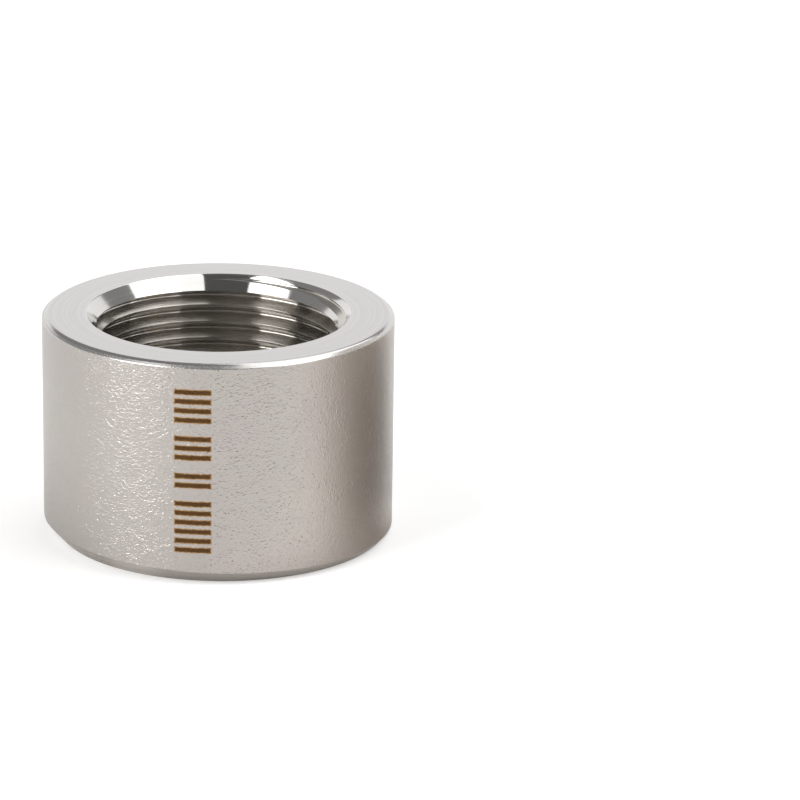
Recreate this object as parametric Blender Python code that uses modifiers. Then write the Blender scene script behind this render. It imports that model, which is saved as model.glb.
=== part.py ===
"""A forged stainless steel half coupling for welding to a pipe, with one taper pipe thread.

The body is one turned piece: a thick round wall, a countersunk mouth, a tapered bore with a
right-hand taper thread cut into it, and a plain bore from the end of the thread to the weld end.
It stands on its weld end, with the threaded mouth up, and its origin is the middle of that end.
All sizes are in metres.
"""
import math

import bmesh
import bpy

NAME = "half_coupling"

# Body
LENGTH = 0.0284                      # face to face
WALL_THICKNESS = 0.007365            # from the thread's crests at the mouth to the outer wall
MOUTH_EDGE_WIDTH = 0.00068           # rounded outer edge of the threaded face, along the face
MOUTH_EDGE_HEIGHT = 0.00048          # and down the wall
WELD_CHAMFER_WIDTH = 0.00123         # turned bevel round the weld end, along the end
WELD_CHAMFER_HEIGHT = 0.00137        # and up the wall
BORE_EDGE_BREAK = 0.0003             # sharp edge taken off the bore at the weld end

# Thread: one inch taper pipe thread, 11.5 turns to the inch, 60 degree form
MINOR_DIAMETER = 0.02972             # across the crests, at the threaded face
PITCH = 0.0254 / 11.5
TAPER = 1 / 16                       # of the diameter, along the axis
FORM_ANGLE = math.radians(60)
THREAD_DEPTH = 0.566 * PITCH         # crest to root, a share of the pitch as in the thread's form
ROOT_FLAT = 0.138 * PITCH
THREAD_LENGTH = 0.0173               # full thread, from the face
RUN_OUT_TURNS = 1.25                 # the groove fades out over these turns
START_ANGLE = math.radians(158.7)    # where the groove's middle line would cross the face

# Mouth and plain bore
COUNTERSINK_WIDTH = 0.001785         # from the crests out to the mouth's edge
COUNTERSINK_ANGLE = math.radians(82)
BORE_STEP = 0.00035                  # how far the plain bore lies inside the end of the thread
BORE_STEP_LENGTH = 0.0006

# Facets
STEPS_PER_TURN = 72
EDGE_ARC_STEPS = 4
LEAD_IN_TURNS = 0.5                  # of the groove's cutter, clear above the face
SMOOTH_BELOW = math.radians(28)      # edges that bend less than this are shaded smooth
CUTTER_OVERLAP = 0.00025             # how far the groove's cutter reaches inside the crests

MERGE_DISTANCE = 0.000001


def clear_scene():
    """Remove every object that the new file starts with."""
    for thing in list(bpy.data.objects):
        bpy.data.objects.remove(thing, do_unlink=True)


def new_collection(name):
    """Add a collection under the scene's own."""
    collection = bpy.data.collections.new(name)
    bpy.context.scene.collection.children.link(collection)
    return collection


def steel(name, colour, roughness):
    """Forged stainless steel, machined at the ends and in the bore."""
    material = bpy.data.materials.new(name)
    material.use_nodes = True
    shader = material.node_tree.nodes["Principled BSDF"]
    shader.inputs["Base Color"].default_value = (*colour, 1)
    shader.inputs["Roughness"].default_value = roughness
    shader.inputs["Metallic"].default_value = 1.0
    return material


def crest_radius(z):
    """Radius of the thread's crests at height z: it narrows downward from the face."""
    return MINOR_DIAMETER / 2 - (LENGTH - z) * TAPER / 2


def body_section():
    """Half section of the turned body, from the threaded face down the outer wall and up the bore."""
    outer = MINOR_DIAMETER / 2 + WALL_THICKNESS
    mouth = MINOR_DIAMETER / 2 + COUNTERSINK_WIDTH
    flare = math.tan(COUNTERSINK_ANGLE / 2)
    countersink_depth = COUNTERSINK_WIDTH / (flare - TAPER / 2)
    thread_end = LENGTH - THREAD_LENGTH - RUN_OUT_TURNS * PITCH
    bore = crest_radius(thread_end) - BORE_STEP

    section = []
    for step in range(EDGE_ARC_STEPS + 1):
        turn = math.radians(90) * step / EDGE_ARC_STEPS
        section.append((outer - MOUTH_EDGE_WIDTH * (1 - math.sin(turn)),
                        LENGTH - MOUTH_EDGE_HEIGHT * (1 - math.cos(turn))))
    section += [
        (outer, WELD_CHAMFER_HEIGHT),
        (outer - WELD_CHAMFER_WIDTH, 0),
        (bore + BORE_EDGE_BREAK, 0),
        (bore, BORE_EDGE_BREAK),
        (bore, thread_end - BORE_STEP_LENGTH),
        (crest_radius(thread_end), thread_end),
        (crest_radius(LENGTH - countersink_depth), LENGTH - countersink_depth),
        (mouth, LENGTH),
    ]
    return section


def turned_body(name, collection, material):
    """Turn the half section about the Z axis."""
    section = body_section()
    mesh = bpy.data.meshes.new(name)
    edges = [(i, (i + 1) % len(section)) for i in range(len(section))]
    mesh.from_pydata([(r, 0, z) for r, z in section], edges, [])
    body = bpy.data.objects.new(name, mesh)
    collection.objects.link(body)
    body.data.materials.append(material)
    turn = body.modifiers.new("turn", "SCREW")
    turn.axis = "Z"
    turn.angle = math.tau
    turn.steps = STEPS_PER_TURN
    turn.render_steps = STEPS_PER_TURN
    turn.use_merge_vertices = True
    turn.merge_threshold = MERGE_DISTANCE
    return body


def groove_path():
    """Points along the groove, from above the face down to where the cutter has left the wall.

    The path is a right-hand helix that follows the taper just inside the crests, and draws
    inward over the run-out, so the groove grows shallow and ends. Its points lie at the same
    angles as the turned body's facets.
    """
    full_turns = THREAD_LENGTH / PITCH
    steps = math.ceil((LEAD_IN_TURNS + full_turns + RUN_OUT_TURNS) * STEPS_PER_TURN)
    facet = math.tau / STEPS_PER_TURN
    first_angle = facet * round((START_ANGLE + math.tau * LEAD_IN_TURNS) / facet)
    points = []
    for step in range(steps + 1):
        angle = first_angle - facet * step
        turn = (START_ANGLE - angle) / math.tau
        z = LENGTH - PITCH * turn
        fade = max(0.0, turn - full_turns) / RUN_OUT_TURNS
        radius = crest_radius(z) - CUTTER_OVERLAP - fade * (THREAD_DEPTH + CUTTER_OVERLAP)
        points.append((radius * math.cos(angle), radius * math.sin(angle), z))
    return points


def poly_curve(name, points, cyclic, dimensions, collection):
    """A curve object with one straight-sided spline."""
    curve = bpy.data.curves.new(name, "CURVE")
    curve.dimensions = dimensions
    spline = curve.splines.new("POLY")
    spline.points.add(len(points) - 1)
    for point, place in zip(spline.points, points):
        point.co = (*place, 1)
    spline.use_cyclic_u = cyclic
    thing = bpy.data.objects.new(name, curve)
    collection.objects.link(thing)
    return thing


def groove_cutter(collection):
    """The solid that the thread's groove takes out: a trapezoid carried along the helix."""
    reach = THREAD_DEPTH + CUTTER_OVERLAP
    root_half = ROOT_FLAT / 2
    base_half = root_half + reach * math.tan(FORM_ANGLE / 2)
    outline = [(0, -base_half, 0), (-reach, -root_half, 0), (-reach, root_half, 0), (0, base_half, 0)]
    form = poly_curve("groove_form", outline, True, "2D", collection)
    path = poly_curve("groove_path", groove_path(), False, "3D", collection)
    path.data.twist_mode = "Z_UP"
    path.data.bevel_mode = "OBJECT"
    path.data.bevel_object = form
    path.data.use_fill_caps = True

    bpy.context.view_layer.update()
    swept = path.evaluated_get(bpy.context.evaluated_depsgraph_get())
    mesh = bpy.data.meshes.new_from_object(swept)
    cutter = bpy.data.objects.new("groove_cutter", mesh)
    cutter.matrix_world = path.matrix_world
    collection.objects.link(cutter)
    bpy.data.objects.remove(path, do_unlink=True)
    bpy.data.objects.remove(form, do_unlink=True)

    welded = bmesh.new()
    welded.from_mesh(mesh)
    bmesh.ops.remove_doubles(welded, verts=welded.verts, dist=MERGE_DISTANCE)
    bmesh.ops.recalc_face_normals(welded, faces=welded.faces)
    welded.to_mesh(mesh)
    welded.free()
    cutter.hide_render = True
    cutter.display_type = "WIRE"
    return cutter


def cut(body, cutter):
    """Take the cutter's shape out of the body."""
    boolean = body.modifiers.new("thread", "BOOLEAN")
    boolean.operation = "DIFFERENCE"
    boolean.solver = "EXACT"
    boolean.object = cutter


def shade(body):
    """Keep the finished shape as the body's own mesh, smooth round the turns and sharp at the edges."""
    bpy.context.view_layer.update()
    finished = body.evaluated_get(bpy.context.evaluated_depsgraph_get())
    mesh = bpy.data.meshes.new_from_object(finished)
    body.modifiers.clear()
    body.data = mesh
    mesh.name = body.name
    mesh.shade_smooth()
    mesh.set_sharp_from_angle(angle=SMOOTH_BELOW)


def main():
    clear_scene()
    parts = new_collection("half_coupling_parts")
    cutters = new_collection("cutters")
    finish = steel("stainless_steel", (0.60, 0.58, 0.55), 0.35)
    body = turned_body(NAME, parts, finish)
    cut(body, groove_cutter(cutters))
    shade(body)


main()
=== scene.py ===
# %% [markdown]
# # A forged half coupling, dressed for a studio picture
# The real piece is one ring of stainless steel. It was forged as a thick ring, pickled, then turned on
# a lathe: both ends faced, a bevel run round each outer edge, the mouth countersunk, and a taper pipe
# thread cut into the bore. Only the outer wall still has its forged skin.
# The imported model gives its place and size. This script makes the fine surface and the finishes.

# %% Load the frame
import math

import bpy
import numpy as np
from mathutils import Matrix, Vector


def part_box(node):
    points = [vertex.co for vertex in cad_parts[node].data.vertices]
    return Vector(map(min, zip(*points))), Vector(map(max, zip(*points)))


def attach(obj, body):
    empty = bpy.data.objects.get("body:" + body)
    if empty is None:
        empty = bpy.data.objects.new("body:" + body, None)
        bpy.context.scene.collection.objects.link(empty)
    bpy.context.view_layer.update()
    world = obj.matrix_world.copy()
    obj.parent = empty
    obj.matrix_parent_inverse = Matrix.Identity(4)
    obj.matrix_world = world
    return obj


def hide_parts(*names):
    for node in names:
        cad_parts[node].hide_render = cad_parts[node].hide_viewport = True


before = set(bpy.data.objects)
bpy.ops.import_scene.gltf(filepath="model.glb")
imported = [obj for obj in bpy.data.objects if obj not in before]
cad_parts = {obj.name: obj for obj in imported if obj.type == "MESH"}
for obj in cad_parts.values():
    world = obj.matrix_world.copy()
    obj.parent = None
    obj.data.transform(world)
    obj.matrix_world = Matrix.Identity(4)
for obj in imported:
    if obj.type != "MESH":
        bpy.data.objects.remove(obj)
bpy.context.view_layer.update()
low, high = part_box("half_coupling")
print("nodes:", sorted(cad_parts))

# %% [markdown]
# ## Sizes
# Sizes here are in millimetres, because a machinist thinks in them. The outer size is read from the
# frame. The thread is the one inch taper pipe thread: 11.5 turns to the inch, a 60 degree form and a
# taper of 1 in 16. A depth is measured down from the threaded face, and an angle round the axis from
# the X axis. The groove's root is round here, as a worn tool cuts it, so it reaches a little deeper
# than the plain root of the solid, and its flanks lie in the same place.

# %% Sizes of the body and the thread
MM = 0.001
LENGTH = (high.z - low.z) / MM
OUTER_RADIUS = (high.x - low.x) / 2 / MM

MINOR_RADIUS = 14.86            # across the crests at the face
PITCH = 25.4 / 11.5
TAPER = 1 / 16
HALF_FORM = math.radians(30)
THREAD_DEPTH = 0.631 * PITCH
ROOT_WIDTH = 0.120 * PITCH      # how far apart the flanks would end on a flat root
FULL_TURNS = 17.3 / PITCH
RUN_OUT_TURNS = 1.25            # the groove fades out over these
RUN_OUT_CLEARANCE = 0.25        # how far inside the bore the tool is by then
START_ANGLE = math.radians(158.7)

MOUTH_RADIUS = MINOR_RADIUS + 1.785
MOUTH_SLOPE = math.tan(math.radians(82) / 2)
BORE_STEP = 0.35                # the plain bore is this much smaller than the last crests
BORE_STEP_LENGTH = 0.6
thread_end = (FULL_TURNS + RUN_OUT_TURNS) * PITCH
plain_bore_radius = MINOR_RADIUS - thread_end * TAPER / 2 - BORE_STEP
print(f"length {LENGTH:.2f} mm, outer radius {OUTER_RADIUS:.2f} mm, thread ends at {thread_end:.2f} mm")

# %% [markdown]
# ## The bore as one formula
# A thread could be cut with a Boolean, or swept along a helix and joined. Both leave long thin faces
# and hard edges. A cut thread has small round roots and edges that catch thin lines of light, so here
# the whole bore is one formula instead: its radius for any depth and angle. Cone, crests and groove
# are each a simple curve, and the larger radius wins, because cutting only takes steel away.

# %% Radius of the bore
CREST_ROUNDING = 0.03           # where two surfaces differ by less than this, their corner is rounded
CONE_ROUNDING = 0.015
ROUNDING_GROWS_FROM = 1.5       # over the next millimetre of depth it grows to the crests' rounding
flank_slope = 1 / math.tan(HALF_FORM)
root_rounding = ROOT_WIDTH / 2 * math.cos(HALF_FORM) / (1 - math.sin(HALF_FORM))
arc_reach = root_rounding * math.cos(HALF_FORM)


def smooth_max(a, b, width):
    """The larger of a and b. Where they differ by less than the width, a parabola rounds the corner:
    it adds the square of (width less their difference), divided by four widths."""
    near = np.maximum(width - np.abs(a - b), 0)
    return np.maximum(a, b) + near**2 / (4 * width)


def crest_radius(depth):
    """Radius of the crests: it shrinks by half the taper for each millimetre of depth."""
    return MINOR_RADIUS - depth * TAPER / 2


def cone_radius(depth):
    """Radius of the countersink: it shrinks by the slope of the mouth for each millimetre of depth."""
    return MOUTH_RADIUS - depth * MOUTH_SLOPE


def root_radius(middle):
    """Radius at the bottom of the groove whose middle is at this depth. It keeps the thread's depth
    outside the crests, and over the run-out it draws in until the tool has left the wall."""
    fade = np.clip((middle / PITCH - FULL_TURNS) / RUN_OUT_TURNS, 0, 1)
    return crest_radius(middle) + THREAD_DEPTH - fade * (THREAD_DEPTH + RUN_OUT_CLEARANCE)


def groove_radius(depth, middle):
    """Radius of the groove at a depth: a round root, an arc of radius root_rounding, with a straight
    flank from each end of it that leans by half the form's angle."""
    away = np.abs(depth - middle)
    arc = root_rounding - np.sqrt(root_rounding**2 - np.minimum(away, arc_reach) ** 2)
    return root_radius(middle) - arc - flank_slope * np.maximum(away - arc_reach, 0)


def bore_radius(depth, angle):
    """Radius of the finished bore: the largest of cone, crests and the nearest turn of the groove,
    whose middle drops by one pitch for each turn to the right."""
    turn = (START_ANGLE - angle) / math.tau
    middle = PITCH * (turn + np.round(depth / PITCH - turn))
    land = smooth_max(cone_radius(depth), crest_radius(depth), CONE_ROUNDING)
    past_cone = np.clip(depth - ROUNDING_GROWS_FROM, 0, 1)
    rounding = CONE_ROUNDING + (CREST_ROUNDING - CONE_ROUNDING) * past_cone
    return smooth_max(land, groove_radius(depth, middle), rounding)


print(f"root rounding {root_rounding:.3f} mm, thread depth {THREAD_DEPTH:.3f} mm")

# %% [markdown]
# ## Rows that follow the thread
# A plain grid of rings would cut across the thread's edges and leave a staircase. So the rows of this
# grid run down with the helix: each turn of the groove has its own block of rows, set at its edges,
# flanks and root. After one turn round, each row meets the row one block above, and the thread closes
# without a seam. Rows that would lie above the mouth or below the thread are pressed against its end.

# %% Depths of the rows
COLUMNS = 240
LAND_STEPS = (-1, 0, 1)
EDGE_STEPS = (-1, -0.5, 0, 0.5, 1)
FLANK_SHARES = (1 / 3, 2 / 3)
ROOT_STEPS = np.linspace(-1, 1, 7)
LEAST_HALF_GROOVE = 0.05
MOUTH_ROUNDING = 0.12
TAKE_OVER = 0.05                # the turned rows take over this far above the thread's end
mouth_turn = math.pi / 2 - math.atan(MOUTH_SLOPE)
bore_top = MOUTH_ROUNDING * math.tan(mouth_turn / 2) * math.sin(mouth_turn)
bore_bottom = thread_end - TAKE_OVER
column_angle = np.arange(COLUMNS) * math.tau / COLUMNS


def groove_edges(middle):
    """How far the two edges of a groove lie from its middle: where its flanks, carried on as straight
    lines, meet the cone or the crests, whichever comes first."""
    tip = root_radius(middle) + flank_slope * ROOT_WIDTH / 2
    over_cone = tip - cone_radius(middle)
    over_crest = tip - crest_radius(middle)
    upper = np.minimum(over_cone / (flank_slope + MOUTH_SLOPE), over_crest / (flank_slope + TAPER / 2))
    lower = np.minimum(over_cone / (flank_slope - MOUTH_SLOPE), over_crest / (flank_slope - TAPER / 2))
    return -np.maximum(upper, LEAST_HALF_GROOVE), np.maximum(lower, LEAST_HALF_GROOVE)


def block_of_rows(middle):
    """Depths of one turn's rows: three on the land above it, held to where the cone ends if that lies
    there, then the groove's upper edge, upper flank, root, lower flank and lower edge."""
    upper, lower = groove_edges(middle)
    above = middle - PITCH
    above_edge = above + groove_edges(above)[1]
    corner = np.minimum(CREST_ROUNDING / flank_slope, (lower - upper) / 2)
    first, last = upper + corner, lower - corner
    cone_end = (MOUTH_RADIUS - MINOR_RADIUS) / (MOUTH_SLOPE - TAPER / 2)
    land = [np.clip(cone_end + step * CONE_ROUNDING, above_edge + corner, middle + upper - corner)
            for step in LAND_STEPS]
    root = [np.clip(step * arc_reach, first, last) for step in ROOT_STEPS]
    rows = [upper + step * corner for step in EDGE_STEPS]
    rows += [first + (root[0] - first) * share for share in FLANK_SHARES]
    rows += root
    rows += [root[-1] + (last - root[-1]) * share for share in FLANK_SHARES]
    rows += [lower + step * corner for step in EDGE_STEPS]
    return np.array(land + [middle + row for row in rows])


first_middle = PITCH * (START_ANGLE - column_angle) / math.tau
turns = math.ceil(thread_end / PITCH + 1)
blocks = [block_of_rows(first_middle + PITCH * turn) for turn in range(turns)]
block_rows = len(blocks[0])
bore_depth = np.concatenate([*blocks, np.full((1, COLUMNS), LENGTH)])
bore_depth = np.maximum.accumulate(np.clip(bore_depth, bore_top, bore_bottom), axis=0)
bore_rows = len(bore_depth)
print(f"{turns} turns of {block_rows} rows, {COLUMNS} columns")

# %% [markdown]
# ## The turned outside
# Everything but the thread is turned, so its section is a run of corners, each with its own small
# rounding: a lathe tool never leaves a perfect edge. A path round the corners gives the rows. It also
# gives each row its outward direction, which keeps flat stretches flat when the light slides over.
# The edge at the mouth was eased by hand after its bevel was cut: it rolls over from the face and
# steepens towards the wall, where it ends in a crisp line. The forged ring never sat quite true in the
# chuck, so the bevel at the weld end is wide on one side and narrow on the other.

# %% Section of the outside
ARC_STEPS = 4                   # the fewest steps in the arc at a corner
WIDEST_STEP = 9                 # the most degrees that one step turns through
WALL_ROWS = 44
BORE_CHAMFER = 0.3
EASED_HEIGHT = 0.42             # the upper part of the eased edge
EASED_SLOPE = math.radians(38)
STEEP_HEIGHT = 0.08             # and the part below it, down to the wall
STEEP_SLOPE = math.radians(56)
WELD_BEVEL_WIDTH = 1.23
WELD_BEVEL_HEIGHT = 1.37
WELD_BEVEL_SHIFT = 0.45
WELD_BEVEL_WIDEST = math.radians(200)


def turned_rows(corners):
    """Rows along a section. Each corner is a radius, a height, a rounding, the number of plain rows
    after it and the finish of the surface that it starts. At each corner an arc of that rounding joins
    the two straight stretches, and the outward direction turns evenly along it."""
    place = np.array([[np.broadcast_to(r, COLUMNS), np.broadcast_to(z, COLUMNS)]
                      for r, z, *_ in corners], dtype=float)
    ahead = np.diff(place, axis=0)
    ahead /= np.hypot(ahead[:, :1], ahead[:, 1:])
    out = np.stack([ahead[:, 1], -ahead[:, 0]], axis=1)
    points, directions, finishes = [], [], []
    for i, (_, _, rounding, plain_rows, finish) in enumerate(corners[1:-1], start=1):
        before, after = ahead[i - 1], ahead[i]
        bend = np.arctan2(before[0] * after[1] - before[1] * after[0], (before * after).sum(axis=0))
        side = np.sign(bend)
        start = place[i] - before * rounding * np.tan(np.abs(bend) / 2)
        centre = start - out[i - 1] * rounding * side
        steps = max(ARC_STEPS, math.ceil(np.degrees(np.abs(bend)).max() / WIDEST_STEP))
        for share in np.linspace(0, 1, steps + 1):
            cos, sin = np.cos(share * bend), np.sin(share * bend)
            r, z = out[i - 1]
            direction = np.stack([r * cos - z * sin, r * sin + z * cos])
            points.append(centre + direction * rounding * side)
            directions.append(direction)
        for step in range(plain_rows):
            share = (step + 1) / (plain_rows + 1)
            points.append(points[-1 - step] * (1 - share) + place[i + 1] * share)
            directions.append(out[i])
        finishes += [finish] * (steps + 1 + plain_rows)
    return np.array(points), np.array(directions), finishes


lopsided = 1 + WELD_BEVEL_SHIFT * np.cos(column_angle - WELD_BEVEL_WIDEST)
steep_top = OUTER_RADIUS - STEEP_HEIGHT / math.tan(STEEP_SLOPE)
eased_top = steep_top - EASED_HEIGHT / math.tan(EASED_SLOPE)
corners = [
    (crest_radius(bore_bottom), LENGTH - bore_bottom, 0, 0, "bore"),
    (crest_radius(thread_end), LENGTH - thread_end, 0.08, 0, "bore"),
    (plain_bore_radius, LENGTH - thread_end - BORE_STEP_LENGTH, 0.15, 6, "bore"),
    (plain_bore_radius, BORE_CHAMFER, 0.1, 0, "bore"),
    (plain_bore_radius + BORE_CHAMFER, 0, 0.1, 4, "face"),
    (OUTER_RADIUS - WELD_BEVEL_WIDTH * lopsided, 0, 0.08, 1, "weld bevel"),
    (OUTER_RADIUS, WELD_BEVEL_HEIGHT * lopsided, 0.08, WALL_ROWS, "skin"),
    (OUTER_RADIUS, LENGTH - EASED_HEIGHT - STEEP_HEIGHT, 0.05, 0, "eased edge"),
    (steep_top, LENGTH - EASED_HEIGHT, 0.15, 0, "eased edge"),
    (eased_top, LENGTH, 0.90, 5, "face"),
    (MOUTH_RADIUS, LENGTH, MOUTH_ROUNDING, 0, "cone"),
    (cone_radius(1), LENGTH - 1, 0, 0, "cone"),
]
outside, outward, outside_finish = turned_rows(corners)
outside, outward, outside_finish = outside[:-1], outward[:-1], outside_finish[:-1]
print(f"{len(outside)} rows round the outside")

# %% [markdown]
# ## One closed skin
# The rows of the outside and of the bore make one loop: down the bore, across the weld end, up the
# wall and over the face. Joined round the axis they are a closed skin with no border anywhere.
# Where rows are pressed together their faces vanish, so each column keeps only the first of them.

# %% Join the rows into a grid
SAME_DEPTH = 0.001


def bore_points(depth):
    """Points of the bore in millimetres, and their outward directions: the slope of the radius along
    the depth and round the axis, taken over a hundredth of a millimetre, tilts them."""
    step = 0.005
    radius = bore_radius(depth, column_angle)
    along = (bore_radius(depth + step, column_angle) - bore_radius(depth - step, column_angle)) / (2 * step)
    turn = step / radius
    around = (bore_radius(depth, column_angle + turn) - bore_radius(depth, column_angle - turn)) / (2 * turn)
    cos, sin = np.cos(column_angle), np.sin(column_angle)
    point = np.stack([radius * cos, radius * sin, LENGTH - depth], axis=-1)
    direction = np.stack([-radius * cos - around * sin, around * cos - radius * sin, -along * radius],
                         axis=-1)
    return point, direction / np.linalg.norm(direction, axis=-1, keepdims=True)


def turned_points(section, direction):
    """Points of turned rows: each radius is carried round the axis at the columns' angles."""
    cos, sin = np.cos(column_angle), np.sin(column_angle)
    point = np.stack([section[:, 0] * cos, section[:, 0] * sin, section[:, 1]], axis=-1)
    tilt = np.stack([direction[:, 0] * cos, direction[:, 0] * sin, direction[:, 1]], axis=-1)
    return point, tilt


new_row = np.diff(bore_depth, axis=0, prepend=-1) > SAME_DEPTH
kept_row = np.maximum.accumulate(np.where(new_row, np.arange(bore_rows)[:, None], 0), axis=0)
bore_depth = np.take_along_axis(bore_depth, kept_row, axis=0)
parts = [bore_points(bore_depth), turned_points(outside, outward)]
points = np.concatenate([part[0] for part in parts])
directions = np.concatenate([part[1] for part in parts])

rows = len(points)
row_of = np.concatenate([kept_row, np.repeat(np.arange(bore_rows, rows)[:, None], COLUMNS, axis=1)])
index = row_of * COLUMNS + np.arange(COLUMNS)
shifted = np.arange(rows)
shifted[:bore_rows] = np.maximum(shifted[:bore_rows] - block_rows, 0)
grid = np.concatenate([index, index[shifted, :1]], axis=1)
grid = np.concatenate([grid, grid[:1]])
quads = np.stack([grid[:-1, :-1], grid[:-1, 1:], grid[1:, 1:], grid[1:, :-1]], axis=-1).reshape(-1, 4)
quad_row = np.repeat(np.arange(rows), COLUMNS)
print(f"{rows} rows, {len(quads)} faces before the empty ones go")


# %% Make the object
def faces_without_repeats(quads):
    """Faces of three or four different corners: a corner that repeats the one before it goes."""
    repeat = quads == np.roll(quads, 1, axis=1)
    corners_left = 4 - repeat.sum(axis=1)
    kept = np.flatnonzero(corners_left >= 3)
    return kept, [face[~gone].tolist() for face, gone in zip(quads[kept], repeat[kept])]


kept_faces, faces = faces_without_repeats(quads)
used, compact = np.unique(np.concatenate(faces), return_inverse=True)
ends = np.cumsum([len(face) for face in faces])
faces = [part.tolist() for part in np.split(compact, ends[:-1])]
mesh = bpy.data.meshes.new("half_coupling_body")
mesh.from_pydata((points.reshape(-1, 3)[used] * MM).tolist(), [], faces)
mesh.shade_smooth()
mesh.normals_split_custom_set_from_vertices(directions.reshape(-1, 3)[used].tolist())
body = bpy.data.objects.new("half_coupling_body", mesh)
bpy.context.scene.collection.objects.link(body)
triangles = sum(len(face) - 2 for face in faces)
print(f"{len(used)} points, {triangles} triangles")

# %% [markdown]
# ## Finishes
# One steel, several finishes, each left by its own step of the work. A metal has no colour of its own
# beyond its reflection, so what tells them apart is how rough each is and which way its marks run.
# An image of each could be wrapped round the piece, but it would blur close up. Noise worked out from
# the object's own coordinates stays sharp at any size, so every finish below is made from it.

# %% Helpers for materials
def linear(hex_colour):
    """A colour as linear light, from its sRGB hex value."""
    parts = [int(hex_colour[i:i + 2], 16) / 255 for i in (1, 3, 5)]
    return (*[c / 12.92 if c <= 0.04045 else ((c + 0.055) / 1.055) ** 2.4 for c in parts], 1)


def node(tree, kind, inputs=None, **settings):
    """Add a node, set its own settings, and give each named input a value, a socket to read from, or
    a node whose first output it reads."""
    made = tree.nodes.new(kind)
    for name, value in settings.items():
        setattr(made, name, value)
    for name, value in (inputs or {}).items():
        if isinstance(value, bpy.types.Node):
            value = value.outputs[0]
        if isinstance(value, bpy.types.NodeSocket):
            tree.links.new(value, made.inputs[name])
        else:
            made.inputs[name].default_value = value
    return made


def bare_steel(name, colour, roughness):
    """A bare steel: the material, its tree, its shader and the object's own coordinates."""
    material = bpy.data.materials.new(name)
    material.use_nodes = True
    tree = material.node_tree
    shader = tree.nodes["Principled BSDF"]
    shader.inputs["Metallic"].default_value = 1.0
    shader.inputs["Base Color"].default_value = linear(colour)
    shader.inputs["Roughness"].default_value = roughness
    place = node(tree, "ShaderNodeTexCoord").outputs["Object"]
    return material, tree, shader, place


# %% [markdown]
# ## Forged skin
# The wall was pressed between dies, blasted and pickled. That leaves shallow dents about half a
# millimetre apart, rubbed flatter in some patches than in others, a fine grain over everything, and
# small round pimples from pits in the dies. Displacing the mesh would need millions of faces, so all
# of this tilts the surface only. The tops of the pimples are rubbed smoother than the rest. The steel
# has gone a warm grey in the acid. To the eye it is satin: broad soft reflections that break up into
# short dashes and small bright dots wherever light meets dark.

# %% Dents, grain and pimples
SKIN_COLOUR, SKIN_ROUGHNESS, RUBBED_ROUGHNESS = "#C6C1BC", 0.25, 0.11
forged_skin, tree, shader, place = bare_steel("stainless_steel_forged_and_pickled", SKIN_COLOUR,
                                              SKIN_ROUGHNESS)
DENT_SPACING, DENT_DEPTH = 0.44, 0.027
PATCH_SIZE = 2.2
GRAIN_SIZE, GRAIN_HEIGHT = 0.17, 0.050
PIMPLE_SPACING, PIMPLE_RADIUS, PIMPLE_HEIGHT = 0.62, 0.15, 0.045

dent_noise = node(tree, "ShaderNodeTexNoise", {"Vector": place, "Scale": 1 / (DENT_SPACING * MM),
                                               "Detail": 2.0})
dents = node(tree, "ShaderNodeMapRange", {"Value": dent_noise, "From Min": 0.35, "From Max": 0.65},
             interpolation_type="SMOOTHSTEP")
patch_noise = node(tree, "ShaderNodeTexNoise", {"Vector": place, "Scale": 1 / (PATCH_SIZE * MM),
                                                "Detail": 1.0})
depth = node(tree, "ShaderNodeMapRange", {"Value": patch_noise, "From Min": 0.40, "From Max": 0.60,
                                          "To Min": 0.25 * DENT_DEPTH, "To Max": DENT_DEPTH})
grain = node(tree, "ShaderNodeTexNoise", {"Vector": place, "Scale": 1 / (GRAIN_SIZE * MM), "Detail": 1.0})
to_pimple = node(tree, "ShaderNodeTexVoronoi", {"Vector": place, "Scale": 1 / (PIMPLE_SPACING * MM)})
pimples = node(tree, "ShaderNodeMapRange", {"Value": to_pimple, "From Min": PIMPLE_RADIUS / PIMPLE_SPACING,
                                            "From Max": 0.0}, interpolation_type="SMOOTHSTEP")
height = node(tree, "ShaderNodeMath", {0: dents, 1: depth}, operation="MULTIPLY")
height = node(tree, "ShaderNodeMath", {0: pimples, 1: PIMPLE_HEIGHT, 2: height}, operation="MULTIPLY_ADD")
height = node(tree, "ShaderNodeMath", {0: grain, 1: GRAIN_HEIGHT, 2: height}, operation="MULTIPLY_ADD")
bump = node(tree, "ShaderNodeBump", {"Height": height, "Distance": MM})
tree.links.new(bump.outputs[0], shader.inputs["Normal"])
rubbed = node(tree, "ShaderNodeMapRange", {"Value": pimples, "To Min": SKIN_ROUGHNESS,
                                           "To Max": RUBBED_ROUGHNESS})
tree.links.new(rubbed.outputs[0], shader.inputs["Roughness"])
print(f"dents every {DENT_SPACING} mm, up to {DENT_DEPTH} mm deep, grain of {GRAIN_SIZE} mm")

# %% [markdown]
# ## Etched mark
# Such a fitting carries a mark down its side, burnt in by a laser. Here it is plain bars in four
# groups, with no lettering. It could be thin pieces laid on the wall, but a real one has no height,
# so it is a colour of the skin. A Mapping node moves the coordinates to the top of the mark, where
# across and depth are in millimetres and down is in bars. The distance to the nearest bar's edge
# then drives the colour: dark brown oxide inside, tan where the heat reached, bare steel outside.

# %% Distance to the nearest bar
MARK_TOP, MARK_TURN, MARK_WIDTH = 25.5, math.radians(-5.6), 4.5
BAR_PITCH, BAR_THICKNESS = 1.2, 0.62
BAR_GROUPS = (4, 3, 2, 6)
RAGGEDNESS = 0.25
slots = sum(BAR_GROUPS) + len(BAR_GROUPS) - 1

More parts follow.
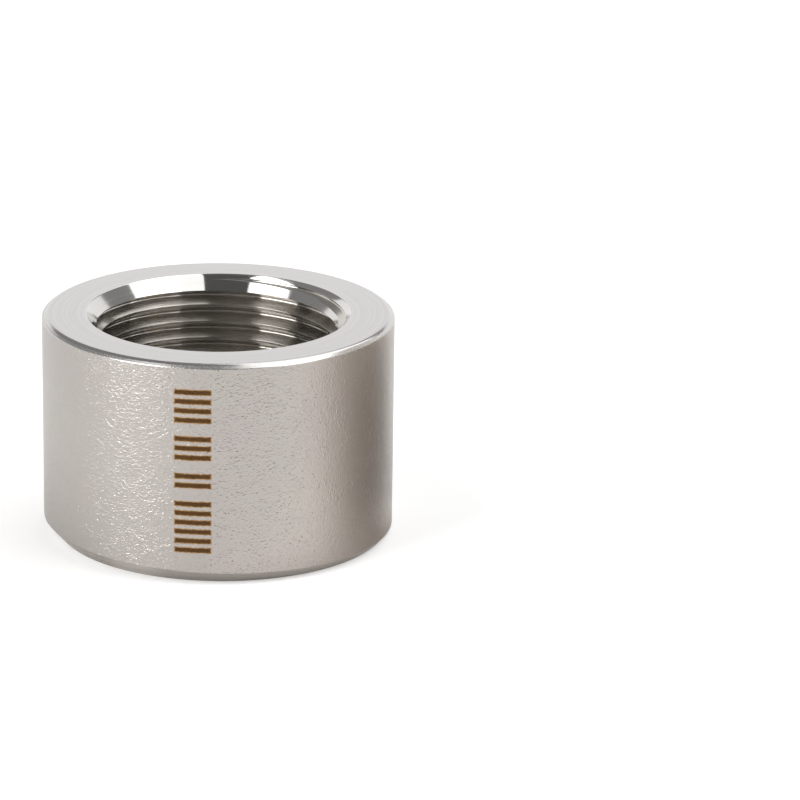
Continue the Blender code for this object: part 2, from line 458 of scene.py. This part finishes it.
mark_top = (OUTER_RADIUS * math.sin(MARK_TURN) * MM, -OUTER_RADIUS * math.cos(MARK_TURN) * MM,
            MARK_TOP * MM)
on_mark = node(tree, "ShaderNodeMapping", {"Vector": place, "Location": mark_top,
                                           "Rotation": (0, 0, MARK_TURN),
                                           "Scale": (MM, MM, -BAR_PITCH * MM)}, vector_type="TEXTURE")
across, inward, down = node(tree, "ShaderNodeSeparateXYZ", {0: on_mark}).outputs
beside = node(tree, "ShaderNodeMath", {0: across}, operation="ABSOLUTE")
beside = node(tree, "ShaderNodeMath", {0: beside, 1: MARK_WIDTH / 2}, operation="SUBTRACT")
far_side = node(tree, "ShaderNodeMath", {0: inward, 1: OUTER_RADIUS}, operation="SUBTRACT")
slot_edge = node(tree, "ShaderNodeMath", {0: down, 1: 0.5}, operation="PINGPONG")
above = node(tree, "ShaderNodeMath", {0: slot_edge, 1: -BAR_PITCH, 2: (BAR_PITCH - BAR_THICKNESS) / 2},
             operation="MULTIPLY_ADD")
slot = node(tree, "ShaderNodeMath", {0: down, 1: 1 / (slots + 2), 2: 1 / (slots + 2)},
            operation="MULTIPLY_ADD")
empty = node(tree, "ShaderNodeValToRGB", {0: slot})
empty.color_ramp.interpolation = "CONSTANT"
stops = empty.color_ramp.elements
stops[0].color = (1, 1, 1, 1)
stops.remove(stops[1])
first_slot = 1
for bars in BAR_GROUPS:
    stops.new(first_slot / (slots + 2)).color = (0, 0, 0, 1)
    stops.new((first_slot + bars) / (slots + 2)).color = (1, 1, 1, 1)
    first_slot += bars + 1
ragged = node(tree, "ShaderNodeTexNoise", {"Vector": place, "Scale": 4 / MM, "Detail": 1.0})
distance = node(tree, "ShaderNodeMath", {0: beside, 1: above}, operation="MAXIMUM")
distance = node(tree, "ShaderNodeMath", {0: distance, 1: far_side}, operation="MAXIMUM")
distance = node(tree, "ShaderNodeMath", {0: distance, 1: empty}, operation="ADD")
distance = node(tree, "ShaderNodeMath", {0: ragged, 1: RAGGEDNESS, 2: distance}, operation="MULTIPLY_ADD")
print(f"{sum(BAR_GROUPS)} bars of {MARK_WIDTH} by {BAR_THICKNESS} mm, {slots * BAR_PITCH:.1f} mm of mark")

# %% Colour of the mark
HEAT_REACH = 0.30
reach = node(tree, "ShaderNodeMapRange", {"Value": distance, "From Min": RAGGEDNESS / 2 - HEAT_REACH,
                                          "From Max": RAGGEDNESS / 2 + HEAT_REACH})
mark = node(tree, "ShaderNodeValToRGB", {0: reach})
stops = mark.color_ramp.elements
stops[0].position, stops[0].color = 0.20, linear("#5E452B")
stops[1].position, stops[1].color = 0.78, linear(SKIN_COLOUR)
for position, colour in ((0.40, "#745535"), (0.53, "#AE8E62"), (0.60, "#C4AD97")):
    stops.new(position).color = linear(colour)

# %% [markdown]
# The acid doesn't bite evenly, so the skin is a shade pinker in some patches and a shade yellower in
# others. Each is far too faint to see alone, but without them the wall looks like one coat of paint.

# %% Stains from the acid
STAIN_SIZE = 7.0
stain_noise = node(tree, "ShaderNodeTexNoise", {"Vector": place, "Scale": 1 / (STAIN_SIZE * MM),
                                                "Detail": 2.0})
stain = node(tree, "ShaderNodeValToRGB", {0: stain_noise})
stops = stain.color_ramp.elements
stops[0].position, stops[0].color = 0.36, linear("#FFFEFC")
stops[1].position, stops[1].color = 0.64, linear("#FEFBFC")
stained = node(tree, "ShaderNodeMix", {0: 1.0, 6: mark, 7: stain}, data_type="RGBA", blend_type="MULTIPLY")
tree.links.new(stained.outputs[2], shader.inputs["Base Color"])

# %% [markdown]
# ## Turned finishes
# A turning tool leaves rings round the axis. They spread a reflection along the section and leave it
# sharp round the turn, which is what the Anisotropic setting does once it knows which way the rings
# run: round the turn is the axis crossed with the place. Rings that are wide enough to see come from
# noise read at the radius and height of each point, which is the same all the way round.

# %% Rings from the tool
def turned_steel(name, colour, roughness, ring_spacing, ring_depth):
    """A steel with tool marks round the axis. Its rings are ring_spacing millimetres apart and
    ring_depth millimetres high, and some are up to a quarter duller or brighter than the rest."""
    material, tree, shader, place = bare_steel(name, colour, roughness)
    around = node(tree, "ShaderNodeVectorMath", {0: (0, 0, 1), 1: place}, operation="CROSS_PRODUCT")
    tree.links.new(around.outputs[0], shader.inputs["Tangent"])
    shader.inputs["Anisotropic"].default_value = 1.0
    shader.inputs["Anisotropic Rotation"].default_value = 0.25
    add_rings(tree, shader, place, roughness, ring_spacing, ring_depth)
    return material


def add_rings(tree, shader, place, roughness, ring_spacing, ring_depth):
    """Rings that tilt the surface and change its roughness. The place on the section is the distance
    from the axis and the height, so noise there is one value for each ring."""
    flat = node(tree, "ShaderNodeVectorMath", {0: place, 1: (1, 1, 0)}, operation="MULTIPLY")
    radius = node(tree, "ShaderNodeVectorMath", {0: flat}, operation="LENGTH").outputs["Value"]
    upright = node(tree, "ShaderNodeSeparateXYZ", {0: place}).outputs["Z"]
    section = node(tree, "ShaderNodeCombineXYZ", {0: radius, 2: upright})
    rings = node(tree, "ShaderNodeTexNoise", {"Vector": section, "Scale": 1 / (ring_spacing * MM),
                                              "Detail": 2.0})
    bump = node(tree, "ShaderNodeBump", {"Height": rings, "Distance": ring_depth * MM})
    tree.links.new(bump.outputs[0], shader.inputs["Normal"])
    dull = node(tree, "ShaderNodeMapRange", {"Value": rings, "From Min": 0.3, "From Max": 0.7,
                                             "To Min": roughness * 0.75, "To Max": roughness * 1.25})
    tree.links.new(dull.outputs[0], shader.inputs["Roughness"])


# %% [markdown]
# The two ends were faced with a fine feed and then wiped flat on a cloth. Their rings are so fine that
# the eye sees an even, slightly soft mirror with a faint ripple along the radius.
# Steel with equal roughness every way does that, with only the faintest rings.

# %% Faced ends
FACED_ROUGHNESS, FACED_RING_SPACING, FACED_RING_DEPTH = 0.16, 0.16, 0.002
faced_end, tree, shader, place = bare_steel("stainless_steel_faced_on_the_lathe", "#CFCCCB",
                                            FACED_ROUGHNESS)
add_rings(tree, shader, place, FACED_ROUGHNESS, FACED_RING_SPACING, FACED_RING_DEPTH)

# %% [markdown]
# The countersink was cut slowly with plenty of oil, so it is the brightest surface: hard-edged blocks
# of black and white. The eased edge beside the face was rubbed over by hand with a fine stone, which
# blurs a reflection the same in every direction, and a little more in some places than in others.
# The weld bevel is only a preparation for the welder. It was turned in one coarse pass and stays dull
# and darker.

# %% Countersink, eased edge and weld bevel
countersunk = turned_steel("stainless_steel_countersunk", "#D8D6D3", 0.10, 0.30, 0.0004)
weld_bevel = turned_steel("stainless_steel_turned_coarse", "#BEB8B1", 0.32, 0.25, 0.003)

eased_edge, tree, shader, place = bare_steel("stainless_steel_eased_with_a_stone", "#D2D0CD", 0.27)
STONE_MARK_SIZE, LEAST_DULL, MOST_DULL = 0.8, 0.24, 0.30
stone_marks = node(tree, "ShaderNodeTexNoise", {"Vector": place, "Scale": 1 / (STONE_MARK_SIZE * MM),
                                                "Detail": 2.0})
dull = node(tree, "ShaderNodeMapRange", {"Value": stone_marks, "From Min": 0.3, "From Max": 0.7,
                                         "To Min": LEAST_DULL, "To Max": MOST_DULL})
tree.links.new(dull.outputs[0], shader.inputs["Roughness"])

# %% [markdown]
# The thread was cut in several passes. Its flanks carry the marks of each pass along the helix, which
# drag every light into a long soft band. Only the nose of the tool burnished the root, so a thin
# clean line runs along it. The plain bore below is as the drill and boring bar left it.

# %% Thread and bore
cut_thread = turned_steel("stainless_steel_cut_thread", "#C8C3BC", 0.20, 0.12, 0.0005)
thread_root = turned_steel("stainless_steel_thread_root", "#D6D2CC", 0.11, 0.12, 0.0002)
bored = turned_steel("stainless_steel_bored", "#BEBAB3", 0.35, 0.30, 0.002)

# %% [markdown]
# ## Which finish goes where
# The rows already know what cut them: each corner of the section named its finish, and inside a block
# of thread rows the root's rows have a fixed place. The countersink is crossed by the first turn of
# the groove, so there a face counts as cone if its middle lies on the cone.

# %% Give each face its finish
ON_CONE = 0.06
finishes = {"skin": forged_skin, "face": faced_end, "cone": countersunk, "eased edge": eased_edge,
            "weld bevel": weld_bevel, "thread": cut_thread, "root": thread_root, "bore": bored}
for material in finishes.values():
    mesh.materials.append(material)
finish_index = {name: i for i, name in enumerate(finishes)}

first_root = len(LAND_STEPS) + len(EDGE_STEPS) + len(FLANK_SHARES)
last_root = first_root + len(ROOT_STEPS) - 1
row_in_block = np.arange(bore_rows) % block_rows
in_root = (row_in_block >= first_root) & (row_in_block < last_root)
bore_finish = np.where(in_root, finish_index["root"], finish_index["thread"])
row_finish = np.concatenate([bore_finish, [finish_index[name] for name in outside_finish]])
face_finish = row_finish[quad_row]

middle = points.reshape(-1, 3)[quads].mean(axis=1)
from_cone = np.hypot(middle[:, 0], middle[:, 1]) - cone_radius(LENGTH - middle[:, 2])
on_cone = (quad_row < bore_rows) & (np.abs(from_cone) < ON_CONE)
face_finish[on_cone] = finish_index["cone"]
mesh.polygons.foreach_set("material_index", face_finish[kept_faces].astype(np.int32))
mesh.update()
for name, i in finish_index.items():
    print(f"{name}: {(face_finish[kept_faces] == i).sum()} faces")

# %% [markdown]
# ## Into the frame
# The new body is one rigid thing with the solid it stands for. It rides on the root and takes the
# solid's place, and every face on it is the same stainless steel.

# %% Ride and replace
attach(body, "root")
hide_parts("half_coupling")

# %% [markdown]
# ## Camera
# A long lens far away, about 18 degrees above the floor, keeps the ellipses of the ring nearly true.
# The piece sits left of the middle. The lens could be shifted for that, but a shift moves with the
# camera into other views, so the camera itself stands to the side.

# %% Camera
VIEW_ELEVATION = math.radians(18.367)
VIEW_ROLL = math.radians(-0.873)
VIEW_DISTANCE = 542.3
ASIDE, ABOVE = 23.064, 2.326
LENS, SENSOR = 192.07, 36
tilt_cos, tilt_sin = math.cos(VIEW_ELEVATION), math.sin(VIEW_ELEVATION)
roll_cos, roll_sin = math.cos(VIEW_ROLL), math.sin(VIEW_ROLL)
right = np.array([roll_cos, -roll_sin * tilt_sin, -roll_sin * tilt_cos])
up = np.array([roll_sin, roll_cos * tilt_sin, roll_cos * tilt_cos])
backward = np.array([0, -tilt_cos, tilt_sin])
stand = np.array([0, 0, LENGTH / 2]) + ASIDE * right + ABOVE * up + VIEW_DISTANCE * backward


def put(thing, sideways, upward, backward, spot):
    """Turn a camera or lamp so that its own three axes lie along these directions, and move it there."""
    placed = np.eye(4)
    placed[:3, 0], placed[:3, 1], placed[:3, 2], placed[:3, 3] = sideways, upward, backward, spot
    thing.matrix_world = placed.T.tolist()
    bpy.context.scene.collection.objects.link(thing)


camera = bpy.data.objects.new("camera", bpy.data.cameras.new("camera"))
camera.data.lens = LENS
camera.data.sensor_width = SENSOR
put(camera, right, up, backward, stand * MM)
bpy.context.scene.camera = camera
print(f"camera at {stand.round(1)} mm")

# %% [markdown]
# ## Floor
# A sheet of white paper. Lit paper alone would look pale grey, and more light would burn out the
# steel, so for the camera only the paper glows a little by itself. That lifts it to white and keeps
# the soft shadow round the piece.

# %% Paper on the floor
FLOOR_REACH = 1.5
PAPER_GAP = 0.00002
GLOW_SEEN, GLOW_MIRRORED = 0.35, 0.06
corner_signs = np.array([(-1, -1), (1, -1), (1, 1), (-1, 1)])
floor_points = np.column_stack([corner_signs * FLOOR_REACH, np.full(4, low.z - PAPER_GAP)])
floor_mesh = bpy.data.meshes.new("floor")
floor_mesh.from_pydata(floor_points.tolist(), [], [(0, 1, 2, 3)])
floor = bpy.data.objects.new("floor", floor_mesh)
bpy.context.scene.collection.objects.link(floor)

paper = bpy.data.materials.new("white_paper")
paper.use_nodes = True
tree = paper.node_tree
shader = tree.nodes["Principled BSDF"]
shader.inputs["Base Color"].default_value = linear("#E6E6E6")
shader.inputs["Roughness"].default_value = 0.9
shader.inputs["Specular IOR Level"].default_value = 0.0
ray = node(tree, "ShaderNodeLightPath")
seen = node(tree, "ShaderNodeMath", {0: ray.outputs["Is Camera Ray"], 1: GLOW_SEEN}, operation="MULTIPLY")
strength = node(tree, "ShaderNodeMath", {0: ray.outputs["Is Glossy Ray"], 1: GLOW_MIRRORED, 2: seen},
                operation="MULTIPLY_ADD")
glow = node(tree, "ShaderNodeEmission", {"Strength": strength})
both = node(tree, "ShaderNodeAddShader", {0: shader, 1: glow})
tree.links.new(both.outputs[0], tree.nodes["Material Output"].inputs["Surface"])
floor_mesh.materials.append(paper)

# %% [markdown]
# ## Lamps
# Polished steel shows its lamps as shapes, so their places and edges matter as much as their light.
# Four large soft panels stand round the piece: two bright ones at the left, one above the other, a
# dimmer one at the right, and one overhead that ends above the piece. The dark gap between the
# overhead panel and the left ones is what draws the black block in the countersink.

# %% Soft panels
def panel(name, centre, wide, tall, brightness):
    """A soft panel with its centre here and its two sides along these vectors, shining to the side
    that the piece is on. Its power is pi times its area and its brightness, so that brightness 1 is
    as bright as white paper."""
    centre, wide, tall = (np.array(v, dtype=float) for v in (centre, wide, tall))
    if np.dot(np.cross(wide, tall), centre) < 0:
        wide = -wide
    width, height = np.linalg.norm(wide), np.linalg.norm(tall)
    lamp = bpy.data.lights.new(name, "AREA")
    lamp.shape = "RECTANGLE"
    lamp.size, lamp.size_y = width, height
    lamp.energy = brightness * math.pi * width * height
    put(bpy.data.objects.new(name, lamp), wide / width, tall / height,
        np.cross(wide / width, tall / height), centre)
    print(f"{name}: {width:.2f} by {height:.2f} m, {lamp.energy:.1f} W")


panel("low_left_panel", (-1, -0.83, 0.54), (0, 1.04, 0), (0, 0, 1.02), 4.4)
panel("high_left_panel", (-1, -0.64, 1.925), (0, 1.22, 0), (0, 0, 1.81), 3.3)
panel("right_panel", (1, -0.216, 1.389), (0, 1.204, -0.517), (0, 0.869, 2.022), 1.5)
panel("overhead_panel", (0.482, 0.439, 1.0), (0.839, 0.135, 0), (-0.316, 1.9575, 0), 1.4)

# %% [markdown]
# ## Graded card of painted shade
# A grey card that only reflections see, so its grey is painted shade: without it the wall would look
# flat. It is folded, its foot on the floor close to the piece, where it stands for shadow on the floor
# as the steel mirrors it. It is darkest along its middle and fades to white at both ends, so the
# painted dark band down the right of the wall has soft edges.

# %% Folded card of painted shade beside the piece
CARD_COLUMNS = 24
CARD_FRONT, CARD_BACK = -30.0, 8.0
CARD_FOLD, CARD_HEIGHT = 30.0, 50.0
FOOT_GAP, FOOT_LIFT = 0.4, 0.2
along = np.linspace(CARD_FRONT, CARD_BACK, CARD_COLUMNS)
piece_edge = np.sqrt(np.maximum(OUTER_RADIUS**2 - along**2, 0))
# The foot is painted shadow: a grey sheet on the floor just beside the wall, seen only as the steel mirrors
# it.
foot = np.stack([piece_edge + FOOT_GAP, along, np.full(CARD_COLUMNS, FOOT_LIFT)], axis=-1)
fold = np.stack([np.full(CARD_COLUMNS, CARD_FOLD), along, np.full(CARD_COLUMNS, FOOT_LIFT)], axis=-1)
top = fold + (0, 0, CARD_HEIGHT)
card_points = np.concatenate([foot, fold, top]) * MM + (0, 0, low.z)
step = np.arange(CARD_COLUMNS - 1)
strip = np.stack([step, step + CARD_COLUMNS, step + CARD_COLUMNS + 1, step + 1], axis=-1)
card_mesh = bpy.data.meshes.new("painted_shade_card")
card_mesh.from_pydata(card_points.tolist(), [], np.concatenate([strip, strip + CARD_COLUMNS]).tolist())
card = bpy.data.objects.new("painted_shade_card", card_mesh)
bpy.context.scene.collection.objects.link(card)

graded = bpy.data.materials.new("painted_shade_grey_card")
graded.use_nodes = True
tree = graded.node_tree
shader = tree.nodes["Principled BSDF"]
shader.inputs["Roughness"].default_value = 0.9
place = node(tree, "ShaderNodeTexCoord").outputs["Object"]
front_to_back = node(tree, "ShaderNodeSeparateXYZ", {0: place}).outputs["Y"]
share = node(tree, "ShaderNodeMapRange", {"Value": front_to_back, "From Min": CARD_FRONT * MM,
                                          "From Max": CARD_BACK * MM})
# Painted shade: the grey is darkest along the card's middle and pales to white at both ends.
grey = node(tree, "ShaderNodeValToRGB", {0: share})
stops = grey.color_ramp.elements
stops[0].color = stops[1].color = linear("#FFFFFF")
for spot, colour in ((-22, "#E7E4E1"), (-16, "#C8C4BF"), (-11, "#B4AEA7"), (-5, "#B4AEA7"), (1.5, "#E4E1DD")):
    stops.new((spot - CARD_FRONT) / (CARD_BACK - CARD_FRONT)).color = linear(colour)
tree.links.new(grey.outputs[0], shader.inputs["Base Color"])
card_mesh.materials.append(graded)
card.visible_camera = False
card.visible_shadow = False
card.visible_diffuse = False

# %% [markdown]
# ## Room
# Steel also mirrors the room behind the lamps. Here it has a low white backdrop behind the piece, up
# to about 22 degrees, which makes the faced end bright, and dim walls and ceiling above it. A picture
# of a room could be wrapped round the scene, but three blends along the world's own direction do the
# same and are easy to change. To the camera the room is plain white.

# %% World
world = bpy.data.worlds.new("studio")
bpy.context.scene.world = world
world.use_nodes = True
tree = world.node_tree
toward = node(tree, "ShaderNodeTexCoord").outputs["Generated"]
_, back_share, upright = node(tree, "ShaderNodeSeparateXYZ", {0: toward}).outputs
backdrop = node(tree, "ShaderNodeMapRange", {"Value": upright, "From Min": 0.37, "From Max": 0.40,
                                             "To Min": 1.0, "To Max": 0.0}, interpolation_type="SMOOTHSTEP")
low_room = node(tree, "ShaderNodeMapRange", {"Value": back_share, "From Min": -0.3, "From Max": 0.3,
                                             "To Min": 0.27, "To Max": 1.03}, interpolation_type="SMOOTHSTEP")
high_room = node(tree, "ShaderNodeMapRange", {"Value": back_share, "From Min": -0.35, "From Max": 0.10,
                                              "To Min": 0.10, "To Max": 0.26},
                 interpolation_type="SMOOTHSTEP")
room = node(tree, "ShaderNodeMix", {0: backdrop, 2: high_room, 3: low_room}, data_type="FLOAT")
ray = node(tree, "ShaderNodeLightPath")
shown = node(tree, "ShaderNodeMix", {0: ray.outputs["Is Camera Ray"], 2: room, 3: 1.0}, data_type="FLOAT")
tree.links.new(shown.outputs[0], tree.nodes["Background"].inputs["Color"])
bpy.context.scene.view_settings.view_transform = "Standard"
